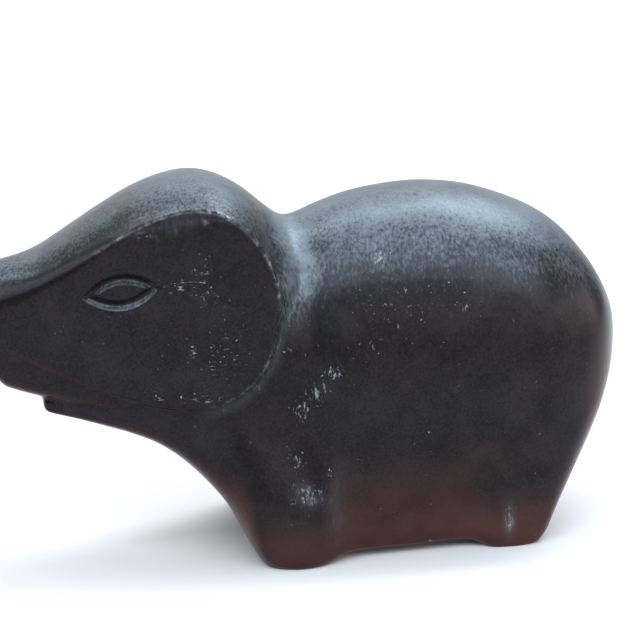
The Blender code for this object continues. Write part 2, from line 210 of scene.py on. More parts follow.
body_rings = [body_section(x) for x in station_places(LIP_END, RUMP, BODY_STATIONS)]
print("the body has", len(body_rings), "sections of", len(body_rings[0]), "points")

# %% [markdown]
# ## Head and trunk
#
# The cheek is the sculptor's main idea: one flat plane from the ear to the trunk, which meets the round
# of the crown along an edge. A round section can't give that edge, so each section of the head is built
# from two arcs, over the crown and under the jaw, and a straight side. The arcs turn less than a right
# angle before they meet the side, which leaves a crease. Towards the trunk they turn further, and the
# crease fades out.

# %% Lines of the head
HEAD_LINES_START = -76
CHEEK_WIDTH = 0.0312
CHEEK_BACK = -9.2
CHEEK_BACK_HEIGHT = 45.0
HEAD_BACK = -2.0
CROWN = line(
    (-76, 47.2), (-66, 48.3), (-58, 49.5), (-52, 50.4), (-47.4, 51.4), (-44.1, 52.8), (-39.2, 55.7),
    (-34.2, 58.6), (-29.3, 61.1), (-24.4, 62.6), (-20.2, 63.0), (-16.2, 62.0), (-12.4, 59.9),
    (-9.2, 57.2), (-7.2, 55.5), (-5.4, 53.9), (-3.8, 51.4), (-2.5, 48.2), (-2.0, 45.0),
)
CHEEK_TOP = line(
    (-76, 43.4), (-64, 42.9), (-56, 43.0), (-50, 44.8), (-44, 48.0), (-38.9, 51.4), (-35, 53.9),
    (-30.9, 56.2), (-26.1, 58.2), (-22.5, 58.9), (-18.9, 58.7), (-16.2, 57.5), (-13, 54.6),
    (-10.6, 50.7), (-9.5, 47.4), (-9.2, 45.0),
)
CHEEK_LOW = line(
    (-76, 43.4), (-64, 42.4), (-57, 41.0), (-52.7, 39.2), (-44.4, 34.4), (-37.7, 31.0), (-33.1, 29.1),
    (-28.4, 27.8), (-23.7, 27.1), (-18.8, 27.7), (-14.7, 30.0), (-11.4, 34.0), (-9.8, 39.2),
    (-9.2, 45.0),
)
JAW = line(
    (-76, 39.4), (-66, 37.8), (-58, 36.2), (-52.6, 34.6), (-44.4, 31.2), (-37.7, 28.4), (-30, 26.0),
    (-23.7, 24.8), (-18, 25.4), (-13, 27.8), (-9, 32.6), (-5.6, 36.6), (-3.2, 40.6), (-2.0, 45.0),
)
HEAD_PLAN = line(
    (-76, 0.33), (-70, 0.36), (-60, 0.44), (-50, 0.55), (-30, 0.77), (-12, 0.975), (-9.2, 1.0), (-8.2, 0.99),
    (-5.0, 0.88), (-2.0, 0.74),
)
# How far the crown and the jaw turn before they meet the flat cheek, in degrees.
CREASE = line(
    (-76, 90), (-48, 90), (-42, 84), (-36, 70), (-30, 56), (-23, 48), (-9.6, 46), (-8.4, 66), (-6, 84),
    (-2.0, 90),
)
JAW_CREASE = line((-76, 90), (-50, 86), (-40, 82), (-10, 80), (-8.4, 82), (-5, 88), (-2, 90))
print("cheeks", round(1000 * CHEEK_WIDTH, 1), "mm apart at the back of the ears")

# %% Section of the head at a station
ARC_POINTS = 12
CHEEK_POINTS = 9


def cheek_arc(half_width, cheek, middle, turn):
    """The round over the crown or under the jaw, from the middle out to its crease at the cheek."""
    a = np.linspace(0, turn, ARC_POINTS)
    across = half_width * np.sin(a) / math.sin(turn)
    height = cheek + (middle - cheek) * (np.cos(a) - math.cos(turn)) / (1 - math.cos(turn))
    return np.column_stack([across, height])


def head_section(x):
    turn, jaw_turn = math.radians(CREASE(x)), math.radians(JAW_CREASE(x))
    half_width = CHEEK_WIDTH / 2 / GRID * HEAD_PLAN(x)
    top, low = CHEEK_TOP(x), CHEEK_LOW(x)
    if x > CHEEK_BACK:
        half_width *= math.sqrt(max(0.0, 1 - ((x - CHEEK_BACK) / (HEAD_BACK - CHEEK_BACK)) ** 2))
        top = low = CHEEK_BACK_HEIGHT
    flat = np.linspace(top, low, CHEEK_POINTS + 2)[1:-1]
    cheek = np.column_stack([np.full_like(flat, half_width), flat])
    crown = cheek_arc(half_width, top, CROWN(x), turn)
    jaw = cheek_arc(half_width, low, JAW(x), jaw_turn)
    return both_sides(x, np.vstack([crown, cheek, jaw[::-1]]))


print("a section of the head has", len(head_section(-30)), "points")

# %% [markdown]
# The trunk is drawn straight, like the rest of the head, and then bent up round a circle. That is
# simpler than drawing it bent, and its sections stay square to its middle line. The last few millimetres
# shrink to a round end.

# %% Bend the trunk up
TRUNK_LENGTH = 0.024
TRUNK_BEND_START = -51.0
TRUNK_BEND_RADIUS = 26.0
TRUNK_ROUND = 3.2  # length of the rounding at the tip
TRUNK_ROUND_FULLNESS = 2.4
TIP_SHARE = 0.3  # of the section's area, left at the very tip
TRUNK_STATIONS = 36
TRUNK_CROWDING = 1.5  # how far its stations crowd towards the tip
TRUNK_JOIN = 0.97  # of its length, where the stations of the head take over
HEAD_STATIONS = 70


def bent_up(ring):
    """The ring where it lies once the trunk is bent."""
    middle = (CROWN(TRUNK_BEND_START) + JAW(TRUNK_BEND_START)) / 2
    x, y, z = ring.T
    angle = np.clip((TRUNK_BEND_START - x) / TRUNK_BEND_RADIUS, 0, None)
    radius = TRUNK_BEND_RADIUS - (z - middle)
    past = angle > 0
    bent_x = np.where(past, TRUNK_BEND_START - radius * np.sin(angle), x)
    bent_z = np.where(past, middle + TRUNK_BEND_RADIUS - radius * np.cos(angle), z)
    return np.column_stack([bent_x, y, bent_z])


def head():
    tip = TRUNK_BEND_START - TRUNK_LENGTH / GRID
    trunk = tip + (TRUNK_BEND_START - tip) * np.linspace(0, TRUNK_JOIN, TRUNK_STATIONS) ** TRUNK_CROWDING
    rings = []
    for x in [*trunk, *station_places(TRUNK_BEND_START, HEAD_BACK, HEAD_STATIONS)]:
        ring = head_section(x)
        inside = min((x - tip) / TRUNK_ROUND, 1)
        middle = ring.mean(axis=0)
        share = max(TIP_SHARE, 1 - (1 - inside) ** TRUNK_ROUND_FULLNESS)
        ring = middle + (ring - middle) * share ** 0.5
        rings.append(bent_up(ring))
    return rings


head_rings = head()
print("the head has", len(head_rings), "sections")

# %% [markdown]
# Under the trunk the mouth is two plain steps. The lower one is the end of the body's own loft. The
# upper one is a small slab with rounded corners, tucked under the trunk.

# %% Upper lip
UPPER_LIP_TIP = -53.4
UPPER_LIP_BACK = -27.0
UPPER_LIP_PLAN = line((-53.4, 0.44), (-51.6, 0.49), (-42, 0.60), (-34, 0.69), (-27, 0.76))
UPPER_LIP_LOW = line((-53.4, 32.0), (-52.2, 30.8), (-46, 28.6), (-38, 26.6), (-27, 25.0))
UPPER_LIP_TOP = line((-53.4, 39.2), (-46, 38.4), (-40, 37), (-27, 36))
LIP_FULLNESS = 4.0
LIP_STATIONS = 24


def upper_lip():
    across, up = quarter(LIP_FULLNESS)
    rings = []
    for x in np.linspace(UPPER_LIP_TIP, UPPER_LIP_BACK, LIP_STATIONS):
        half_width = CHEEK_WIDTH / 2 / GRID * UPPER_LIP_PLAN(x)
        middle = (UPPER_LIP_TOP(x) + UPPER_LIP_LOW(x)) / 2
        half_height = UPPER_LIP_TOP(x) - middle
        upper = np.column_stack([half_width * across, middle + half_height * up])
        lower = np.column_stack([half_width * across, middle - half_height * up])[-2::-1]
        rings.append(both_sides(x, np.vstack([upper, lower])))
    return rings


lip_rings = upper_lip()
print("the upper lip has", len(lip_rings), "sections")

# %% [markdown]
# ## From sections to one skin
#
# Each list of sections becomes a closed skin, with a strip of faces between neighbours and a cap on each
# end. The three skins overlap, as wax does before it is melted together. A voxel remesh melts them into
# one: it keeps only the outside, as a foundry mould would, and gives even small faces all over.

# %% Loft the masses into one mesh
def add_loft(shell, rings):
    """Adds a closed skin through rings of points, each ring given in the same order."""
    rows = [[shell.verts.new(GRID * point) for point in ring] for ring in rings]
    for low, high in zip(rows, rows[1:]):
        for i in range(len(low)):
            j = (i + 1) % len(low)
            shell.faces.new((low[i], low[j], high[j], high[i]))
    shell.faces.new(rows[0][::-1])
    shell.faces.new(rows[-1])


shell = bmesh.new()
for rings in (body_rings, head_rings, lip_rings):
    add_loft(shell, rings)
bmesh.ops.recalc_face_normals(shell, faces=shell.faces)
elephant = bpy.data.objects.new("elephant_casting", bpy.data.meshes.new("elephant_casting"))
bpy.context.scene.collection.objects.link(elephant)
shell.to_mesh(elephant.data)
shell.free()
print("three overlapping skins:", len(elephant.data.polygons), "faces")

# %% [markdown]
# The remesh works on a grid of small cubes, the voxels. Small voxels keep the cheek's edge sharp and
# cost time. A third of a millimetre is about two pixels of a close view. Its result is kept at once, in
# place of the old mesh, because the next steps need to measure it.

# %% Melt them into one skin
VOXEL = 0.00036


def settle(obj):
    """Replaces the object's mesh by what its modifiers make of it."""
    bpy.context.view_layer.update()
    made = bpy.data.meshes.new_from_object(obj.evaluated_get(bpy.context.evaluated_depsgraph_get()))
    old = obj.data
    obj.modifiers.clear()
    obj.data = made
    bpy.data.meshes.remove(old)


melt = elephant.modifiers.new("melt", "REMESH")
melt.mode = "VOXEL"
melt.voxel_size = VOXEL
settle(elephant)
print("one skin:", len(elephant.data.polygons), "faces")

# %% [markdown]
# Where head and body met there is now a sharp valley. On the casting it is a wide, soft hollow. So the
# program measures, for each point of the skin, how near it lies to both masses at once: close to both
# means close to the valley. Many passes of smoothing, held to those points by a vertex group, fill it.
# The flat cheek stays out of the group, so that its edge stays crisp, and a few passes all over take the
# last sharpness off everything else.

# %% Measure the valley and the cheek's edge
EDGE_POINTS = 300  # along the top of the cheek, and as many along its foot


def points_of(obj):
    """The object's points, as an array with one row each."""
    flat = np.empty(3 * len(obj.data.vertices))
    obj.data.vertices.foreach_get("co", flat)
    return flat.reshape(-1, 3)


def between(low, high, value):
    """0 below low, 1 above high, and a smooth step from one to the other."""
    t = np.clip((value - low) / (high - low), 0, 1)
    return t * t * (3 - 2 * t)


def away_from(rings, points):
    """How far points lie from the skin through these rings, in metres."""
    mould = bmesh.new()
    add_loft(mould, rings)
    tree = BVHTree.FromBMesh(mould)
    mould.free()
    return np.array([tree.find_nearest(point)[3] for point in points.tolist()])


def outside_cheek(x, z):
    """How far points lie beyond the cheek's edge, from the side, in squares: less than 0 on the cheek."""
    along = np.linspace(HEAD_LINES_START, CHEEK_BACK, EDGE_POINTS)
    edge = np.vstack([np.column_stack([along, CHEEK_TOP(along)]), np.column_stack([along, CHEEK_LOW(along)])])
    tree = KDTree(len(edge))
    for i, (edge_x, edge_z) in enumerate(edge):
        tree.insert((edge_x, edge_z, 0), i)
    tree.balance()
    away = np.array([tree.find((px, pz, 0))[2] for px, pz in zip(x.tolist(), z.tolist())])
    inside = (x < CHEEK_BACK) & (z < CHEEK_TOP(x)) & (z > CHEEK_LOW(x))
    return np.where(inside, -away, away)


points = points_of(elephant)
from_valley = np.maximum(away_from(head_rings, points), away_from(body_rings, points)) / GRID
x, y, z = (points / GRID).T
beyond_edge = outside_cheek(x, z)
print("points within 1 mm of the valley:", int((from_valley < 1).sum()))

# %% Fill the valley and rub the rest
NECK_PASSES = 340
RUB_PASSES = 6
SMOOTHING = 0.5  # of the way to the neighbours' middle, in each pass
WEIGHT_STEPS = 20
VALLEY_NEAR = 1.5  # squares from both masses: full weight within this
VALLEY_FAR = 6.0  # and none beyond this
VALLEY_START = -40  # along X, where the weight begins behind the trunk
VALLEY_FULL = -24
CHEEK_EDGE_KEPT = (-0.1, 0.7)  # squares beyond the cheek's edge, from no weight to full weight
FILL_AT_HEIGHT = line((15, 0.1), (30, 0.1), (36, 0.4), (44, 1), (48, 1), (56, 0.35), (64, 0.35))


def weigh(obj, name, weights):
    """A vertex group with these weights, in even steps."""
    group = obj.vertex_groups.new(name=name)
    levels = np.round(WEIGHT_STEPS * weights).astype(int)
    for level in range(1, WEIGHT_STEPS + 1):
        group.add(np.flatnonzero(levels == level).tolist(), level / WEIGHT_STEPS, "REPLACE")


near_valley = (1 - between(VALLEY_NEAR, VALLEY_FAR, from_valley)) * between(VALLEY_START, VALLEY_FULL, x)
weights = near_valley * between(*CHEEK_EDGE_KEPT, beyond_edge) * FILL_AT_HEIGHT(z)
weigh(elephant, "valley", weights)
for name, passes, group in (("fill", NECK_PASSES, "valley"), ("rub", RUB_PASSES, "")):
    smooth = elephant.modifiers.new(name, "SMOOTH")
    smooth.factor = SMOOTHING
    smooth.iterations = passes
    smooth.vertex_group = group
settle(elephant)
elephant.vertex_groups.clear()
print("filled at", int((weights > 0).sum()), "points, and rubbed at all", len(elephant.data.vertices))

# %% [markdown]
# ## Soles and eyes
#
# The feet are cut off flat at the ground, as on a belt sander, so that the animal stands on four soles.
# Bisect cuts a mesh at a plane, and filling the open edges closes the soles again.

# %% Cut the soles flat
shell = bmesh.new()
shell.from_mesh(elephant.data)
whole = shell.verts[:] + shell.edges[:] + shell.faces[:]
cut = bmesh.ops.bisect_plane(shell, geom=whole, plane_co=(0, 0, 0), plane_no=(0, 0, -1), clear_outer=True)
rim = [edge for edge in cut["geom_cut"] if isinstance(edge, bmesh.types.BMEdge)]
soles = bmesh.ops.edgeloop_fill(shell, edges=rim)["faces"]
print("soles:", len(soles), "each about", round(1e6 * soles[0].calc_area()), "square mm")

# %% [markdown]
# The eye is a line chased with a punch: an almond, 10 mm from corner to corner, round a plain almond
# left at the height of the cheek. A Boolean would leave knife edges. A chased line has soft shoulders,
# so the cheek's points are pushed in instead, by a depth that falls off smoothly from the middle of the
# line. That needs finer faces there first.

# %% Finer faces round the eyes
EYE_LENGTH = 0.0102
EYE_HEIGHT = 0.0041
UPPER_LINE_SLOPES = (0.0015, 0.0008)  # widths: away from the almond, and into it
LOWER_LINE_SLOPES = (0.0009, 0.0013)
EYE_LINE_DEPTH = 0.0008
EYE_AT = Vector((-33.4, 46.4)) * GRID
EYE_TILT = math.radians(7.5)
EYE_REACH = (1.35, 1.9)  # how far the finer faces go, in half lengths and half heights
EYE_SIDE = CHEEK_WIDTH / 4  # further out than this, a point is on a cheek
EYE_HALVINGS = 2  # of the faces there


def eye_place(x, z):
    """Where a point lies on the eye, in half lengths along it and half heights up it."""
    along = (x - EYE_AT.x) * math.cos(EYE_TILT) + (z - EYE_AT.y) * math.sin(EYE_TILT)
    up = (z - EYE_AT.y) * math.cos(EYE_TILT) - (x - EYE_AT.x) * math.sin(EYE_TILT)
    return along / (EYE_LENGTH / 2), up / (EYE_HEIGHT / 2)


def on_eye(x, y, z):
    along, up = eye_place(x, z)
    return (np.abs(along) < EYE_REACH[0]) & (np.abs(up) < EYE_REACH[1]) & (np.abs(y) > EYE_SIDE)


for _ in range(EYE_HALVINGS):
    edges = {edge for face in shell.faces if on_eye(*face.calc_center_median()) for edge in face.edges}
    bmesh.ops.subdivide_edges(shell, edges=list(edges), cuts=1, use_grid_fill=True)
shell.to_mesh(elephant.data)
shell.free()
print("with finer eyes:", len(elephant.data.polygons), "faces")

# %% [markdown]
# The push is deepest on the almond's outline and fades out on both sides. The upper line slopes in
# gently from the brow and steeply on the almond's side, and the lower line the other way round, because
# the light that catches each slope says so.

# %% Chase the eyes
LID_POINTS = 121
LINES_MEET = (-0.2, 0.2)  # in half heights: below it the slopes are the lower line's, above it the upper's


def away_from_almond(along, up):
    """How far points lie from the almond's line, in metres: less than 0 inside it."""
    half = np.linspace(-1, 1, LID_POINTS)
    lid = 1 - half**2
    outline = np.concatenate([np.column_stack([half, lid]), np.column_stack([half, -lid])])
    half_size = np.array((EYE_LENGTH / 2, EYE_HEIGHT / 2))
    here = np.column_stack([along, up]) * half_size
    away = np.array([np.hypot(*(outline * half_size - point).T).min() for point in here])
    return np.where(np.abs(up) < 1 - along**2, -away, away)


points = points_of(elephant)
along, up = eye_place(points[:, 0], points[:, 2])
near = np.flatnonzero(on_eye(*points.T))
away = away_from_almond(along[near], up[near])
upper = between(*LINES_MEET, up[near])
outside, inside = [low + (high - low) * upper for low, high in zip(LOWER_LINE_SLOPES, UPPER_LINE_SLOPES)]
depth = EYE_LINE_DEPTH * between(0, 1, 1 - np.where(away > 0, away / outside, -away / inside))
points[near, 1] -= np.sign(points[near, 1]) * depth
print("eye lines pushed in by up to", round(1000 * depth.max(), 2), "mm, over", len(near), "points")

# %% [markdown]
# ## The trunk's end and the worked surface
#
# The end of the trunk has a shallow dimple for the nostrils. It could be cut with a Boolean sphere.
# Pushing the points in along the trunk needs no second object, and gives the dimple a soft rim, as a
# punch does.

# %% Dimple the trunk
NOSTRIL_WIDTH = 0.0032
NOSTRIL_DEPTH = 0.0012
NOSTRIL_SLOPE = (0.15, 0.7)  # of its width, from the floor of the dimple to its rim
bend = TRUNK_LENGTH / GRID / TRUNK_BEND_RADIUS
outward = np.array((-math.cos(bend), 0, math.sin(bend)))
end = points[(points @ outward).argmax()] * (1, 0, 1)
across = np.linalg.norm(np.cross(points - end, outward), axis=1)
near_end = (points - end) @ outward > -NOSTRIL_WIDTH
dimple = NOSTRIL_DEPTH * (1 - between(*NOSTRIL_SLOPE, across / NOSTRIL_WIDTH)) * near_end
points -= dimple[:, None] * outward
print("dimple", round(1000 * dimple.max(), 2), "mm deep")

# %% [markdown]
# The whole skin gets the faint unevenness of a surface that was filed by hand: real relief of a few
# hundredths of a millimetre, which the light picks out on the broad curves. Two noises move the points
# along their normals, one in long waves and one in short. The soles stay flat. Finer grain comes from
# the material.

# %% Uneven the surface, as files and fingers do
RELIEF = ((0.009, 0.00005), (0.0028, 0.000014))  # length of the waves, and their height
SOLE_KEPT = (0.0002, 0.002)  # height above the ground, from no relief to full relief
elephant.data.vertices.foreach_set("co", points.ravel())
elephant.data.update()
normals = np.empty(3 * len(points))
elephant.data.vertices.foreach_get("normal", normals)
normals = normals.reshape(-1, 3)
relief = np.zeros(len(points))
for length, height in RELIEF:
    relief += height * np.array([noise.noise(point) for point in (points / length).tolist()])
relief *= between(*SOLE_KEPT, points[:, 2])
points += relief[:, None] * normals
elephant.data.vertices.foreach_set("co", points.ravel())
print("relief from %.3f to %.3f mm" % (1000 * relief.min(), 1000 * relief.max()))

# %% [markdown]
# The skin now has far more faces than it needs. A Decimate modifier thins them where the skin is plain,
# and leaves them close together at edges and round the eyes.

# %% Thin the faces
MOST_TRIANGLES = 186_000


def triangle_count(obj):
    return sum(len(face.vertices) - 2 for face in obj.data.polygons)


thin = elephant.modifiers.new("thin", "DECIMATE")
thin.ratio = MOST_TRIANGLES / triangle_count(elephant)
settle(elephant)
print("triangles:", triangle_count(elephant))

# %% [markdown]
# The finer skin has to stand exactly where the solid one does. Its own box differs from the solid's by a
# few hundredths of a millimetre, because it was smoothed less, so it is moved and scaled into that box.

# %% Fit the skin to the solid's box
drawn = points_of(elephant)
low, high = drawn.min(axis=0), drawn.max(axis=0)
scale = np.array(size) / (high - low)
points = (drawn - low) * scale + np.array(lowest)
elephant.data.vertices.foreach_set("co", points.ravel())
elephant.data.update()
elephant.data.shade_smooth()
shift = lowest.x - low[0] * scale[0]
print("scaled by", [round(float(s), 4) for s in scale], "and moved by %.2f mm" % (1000 * shift))
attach(elephant, "root")
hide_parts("elephant")

# %% [markdown]
# ## Where the patina has worn, and where light is painted
#
# The metal was darkened nearly black all over. Handling then rubbed it, and left small silver scuffs where
# it knocked against things. Everything that faces up is broadly grey, partly from rubbing and partly as a
# painted sheen of the light from above. The thin bright line along the edge of each cheek is a painted
# highlight with worn spots on it, and the brown low down is a painted warm reflection from below. It could
# be painted by hand on a flat image of the skin. Here each kind of wear and of painted light gets its own
# map: a number from 0 to 1 on every point of the mesh, worked out from where the point is and which way it
# faces, so that it fits the shape and needs no unwrapping.
#
# Scuffs have no rule, so their places are chosen one by one, as soft spots on the grid of the drawing.

# %% Where it was scuffed
def scuffs_at(places, x, z):
    """Soft spots at these places, as (x, z, half width, half height, strength), which add up."""
    total = np.zeros(len(x))
    for at_x, at_z, wide, high, strength in places:
        total += strength * np.exp(-(((x - at_x) / wide) ** 2) - ((z - at_z) / high) ** 2)
    return np.minimum(total, 1)


SCUFFS_LEFT = (
    (-25.0, 47.0, 3.0, 1.2, 0.95), (-21.0, 50.0, 3.2, 3.4, 0.75), (-20.0, 45.0, 2.6, 1.2, 0.85),
    (-29.5, 51.5, 1.0, 1.2, 0.6), (-22.0, 35.0, 7.0, 6.0, 0.48), (-17.0, 38.0, 3.0, 6.0, 0.4),
    (-28.5, 29.8, 1.6, 1.2, 0.95), (-22.0, 28.6, 4.0, 0.8, 0.9), (-41.5, 45.6, 0.8, 0.5, 0.8),
    (-34.2, 47.0, 1.6, 0.5, 0.85), (-22.6, 36.6, 0.6, 0.5, 1.1),
    (-7.8, 35.8, 1.1, 1.0, 1.0), (-0.8, 32.2, 1.6, 1.2, 1.0), (-3.2, 28.8, 2.4, 1.8, 0.9),
    (-5.8, 25.4, 2.0, 2.6, 0.9), (-7.4, 18.0, 2.2, 3.4, 0.85), (-5.6, 12.4, 3.4, 2.4, 1.0),
    (-2.2, 15.8, 0.6, 0.8, 1.0), (27.4, 4.8, 1.1, 3.2, 0.95), (7.4, 49.6, 1.6, 2.0, 0.8),
    (20.2, 41.7, 0.9, 0.7, 0.9), (5.6, 36.5, 1.0, 0.9, 0.8), (14.4, 1.8, 1.4, 0.8, 0.9),
    (12.0, 20.5, 2.6, 2.0, 0.5), (-30.2, 55.0, 2.0, 0.8, 0.6), (9.0, 43.0, 14.0, 7.0, 0.55),
    (-2.0, 33.0, 5.0, 7.0, 0.25),
)
SCUFFS_RIGHT = (
    (-27.0, 43.0, 3.6, 2.6, 0.9), (-18.5, 51.0, 2.0, 1.6, 0.8), (-33.0, 38.0, 2.0, 1.2, 0.8),
    (-22.0, 32.0, 4.0, 3.0, 0.6), (-12.5, 40.0, 1.2, 3.4, 0.9), (-4.0, 30.0, 2.6, 3.0, 0.9),
    (-7.0, 12.0, 3.0, 4.0, 0.9), (9.0, 44.0, 3.0, 2.0, 0.7), (27.0, 38.0, 2.4, 2.6, 0.8),
    (41.0, 30.0, 1.6, 3.6, 0.8), (30.0, 8.0, 2.4, 4.0, 0.9), (16.0, 22.0, 3.0, 2.4, 0.5),
)
# soft patches: some are soft wear round scuffs, some are painted light in the shade of the leg crease and the
# shoulder
WEAR_AND_LIGHT_PATCHES = (
    (-5.4, 11.6, 1.8, 1.2, 0.32), (-7.0, 13.5, 1.6, 1.4, 0.22), (27.5, 4.6, 0.9, 2.6, 0.4),
    (-1.4, 9.5, 1.6, 6.0, 0.12), (-2.0, 42.5, 4.5, 4.5, 0.16),
)
EDGE_SCUFFS = (
    (-17.0, 58.0, 3.4, 2.0, 1.0), (-12.0, 53.0, 2.4, 4.0, 0.9), (-9.6, 47.0, 2.0, 3.4, 1.0),
    (-11.6, 35.0, 1.2, 1.8, 1.0), (-16.0, 29.5, 3.0, 2.5, 0.45), (-29.0, 57.0, 5.0, 2.0, 0.45),
)
print(len(SCUFFS_LEFT), "scuffs on the left,", len(SCUFFS_RIGHT), "on the right")

# %% [markdown]
# The maps are drawn on the same grid as the lines. They are worked out from the skin as it was drawn,
# before it was moved into the solid's box, because all the lines above are measured there.
#
# Each map is a product of soft steps: between(a, b, value) goes from 0 to 1 while the value goes from a
# to b. A number in front of a step says how strong that mark is.

# %% Measure where each point is and which way it faces
HEAD_END = (-9.5, -6)  # along X: all head before it, all body behind it
CHEEK_SIDE = 5  # squares from the middle plane: further out, a point is on a cheek and not on the brow
normals = np.empty(3 * len(points))
elephant.data.vertices.foreach_get("normal", normals)
facing_along, _, facing_up = normals.reshape(-1, 3).T
x, y, z = (drawn / GRID).T
beyond_edge = outside_cheek(x, z)
from_valley = np.maximum(away_from(head_rings, drawn), away_from(body_rings, drawn)) / GRID
on_head = 1 - between(*HEAD_END, x)
print(round(100 * float(on_head.mean())), "% of the points are on the head")

# %% [markdown]
# Palms rub the back and the crown, and the light from above is painted on them as a sheen. What faces up
# is palest, the head less so than the back, and the very top of the back a little less than its shoulders,
# so that the painted sheen lies below the crest. The hollow of the neck is painted pale at any slope, as
# painted light in its shade. The planed cheek is left out, and next to its edge the crown keeps some of
# its coat.

# %% Rubbed grey, with painted sheen and painted light, from above
NECK_REACH = 3.4  # squares from the valley, where the painted light in the neck has faded to a third
NECK_HEIGHTS = (34, 52)  # from no painted light in the neck to full painted light
CREST = (0.86, 1)  # how far up the skin faces on the crest of the back
CREST_LESS_SHEEN = 0.32  # of the grey taken off the crest, so that the painted sheen lies below it
CROWN_KEEPS = 0.25  # of its coat, next to the cheek's edge
# painted light: the shade in the hollow of the neck is painted pale
neck_painted_light = np.exp(-((from_valley / NECK_REACH) ** 2)) * between(*NECK_HEIGHTS, z)
off_cheek = np.maximum(between(-0.1, 0.5, beyond_edge), 1 - between(-40, -32, x))
on_back = 0.45 + 0.17 * between(-34, -18, x) + 0.28 * between(-12, 10, x)
on_back *= 1 - CREST_LESS_SHEEN * between(*CREST, facing_up) * between(-4, 4, x)
steep = 0.15 + 0.25 * (1 - between(-36, -20, x))  # of facing up: steeper places keep their coat
kept_by_edge = 1 - CROWN_KEEPS * on_head * (1 - between(0.3, 3, beyond_edge))
# partly rubbed wear, partly painted sheen of the light from above
rubbed_and_sheen_up = between(steep, 1.0, facing_up) * on_back * kept_by_edge
rubbed_and_sheen_up = np.maximum(rubbed_and_sheen_up, neck_painted_light) * (1 - on_head * (1 - off_cheek))
print("rubbed up to", round(float(rubbed_and_sheen_up.max()), 2))

# %% [markdown]
# Smaller places are painted lighter too. The round under the jaw, just outside the cheek's edge, gets a
# painted highlight, and so does the lower slope of each eye line, where it faces up. A few soft patches on
# the legs and the neck are partly wear and partly painted light in shade. A narrow band inside the top of
# the cheek is a painted highlight, like a bevel, that ends at a faint painted line of its own.

# %% Painted highlights on jaw, eyes and bevel
# painted highlight of a bevel and its foot line, which the mesh doesn't have
BEVEL_FOOT = line((-36, 53.6), (-29.6, 56.1), (-23.3, 56.8), (-18.3, 57.5), (-14, 56.6))
BEVEL_HIGHLIGHT = 0.14
FOOT_LINE_HIGHLIGHT = 0.5
FOOT_LINE_HALF_WIDTH = 0.16
JAW_BAND = (1.1, 0.7)  # squares beyond the cheek's edge, and the band's half width
JAW_HIGHLIGHT = 0.16
EYE_LINE_HIGHLIGHT = (0.62, 0.42)  # on the lower and the upper line
above_foot = z - BEVEL_FOOT(x)
bevel_highlight = between(-0.1, 0.2, above_foot) * (beyond_edge < 0.1)
bevel_highlight *= between(-40, -34, x) * (1 - between(-17, -14, x))
foot_line_highlight = FOOT_LINE_HIGHLIGHT * np.exp(-((above_foot / FOOT_LINE_HALF_WIDTH) ** 2))
foot_line_highlight *= between(-34, -28, x) * (1 - between(-18, -16, x))
# painted highlight along the round under the jaw
jaw_painted_highlight = JAW_HIGHLIGHT * np.exp(-(((beyond_edge - JAW_BAND[0]) / JAW_BAND[1]) ** 2))
jaw_painted_highlight *= between(-24, -16, x) * (1 - between(42, 48, z))
eye_along, eye_up = eye_place(drawn[:, 0], drawn[:, 2])
in_reach = (np.abs(eye_along) < EYE_REACH[0]) & (np.abs(eye_up) < EYE_REACH[1])
near = np.flatnonzero(in_reach & (np.abs(y) > CHEEK_SIDE))
in_line = np.abs(away_from_almond(eye_along[near], eye_up[near])) < UPPER_LINE_SLOPES[0]
upper = between(*LINES_MEET, eye_up[near])
line_highlight = EYE_LINE_HIGHLIGHT[0] + (EYE_LINE_HIGHLIGHT[1] - EYE_LINE_HIGHLIGHT[0]) * upper
eye_line_highlight = np.zeros(len(x))
# painted highlight on the slope of each eye line that faces up
eye_line_highlight[near] = in_line * between(0.3, 0.75, facing_up[near]) * line_highlight
# partly soft wear, partly painted light in shade
wear_and_light_patches = scuffs_at(WEAR_AND_LIGHT_PATCHES, x, z) * (y < 0)
print("eyes worn at", int((eye_line_highlight > 0).sum()), "points")

# %% [markdown]
# Low down a warm brown is painted in, as a painted reflection of a warm surface below, not as a colour of
# the metal: it rises highest between the legs, covers what faces the ground, and wraps round the chest and
# the rump, where the skin turns away from the side.

# %% Painted warm reflection low down, in brown
# the painted warm reflection from below rises this high, in squares
WARM_REFLECTION_HEIGHT = 12
WARM_REFLECTION_HEIGHT_MORE = 9  # between the legs
warm_reflection_rise = WARM_REFLECTION_HEIGHT + WARM_REFLECTION_HEIGHT_MORE * between(-4, -1, x) * (1 - between(19, 25, x))
below = (1 - between(0, warm_reflection_rise, z)) * (0.75 + 0.25 * between(0, 30, x))
warm_reflection_top = 24 + 10 * (1 - between(-44, -34, x))
# painted warm reflection on what faces the ground
under = (0.85 - 0.35 * on_head) * between(0.1, 0.85, -facing_up)
under *= 1 - between(warm_reflection_top, warm_reflection_top + 4, z)
# painted warm reflection where the skin turns away, round the chest and the rump
ends = 0.9 * between(0.45, 0.9, np.abs(facing_along)) * (1 - between(24, 42, z))
print("brown rises", warm_reflection_rise.min(), "to", warm_reflection_rise.max(), "squares")

# %% [markdown]
# The line along the cheek's edge is a painted highlight, with worn spots where the edge was touched first.
# It starts at the trunk's root on top and under the ear below, is thin everywhere, and is strongest at the
# back of the ear. Then the maps are stored as attributes of the mesh, where the material can read them.

# %% Store the maps
EDGE_BAND = (0.18, 0.27)  # squares beyond the cheek's edge, and the band's half width
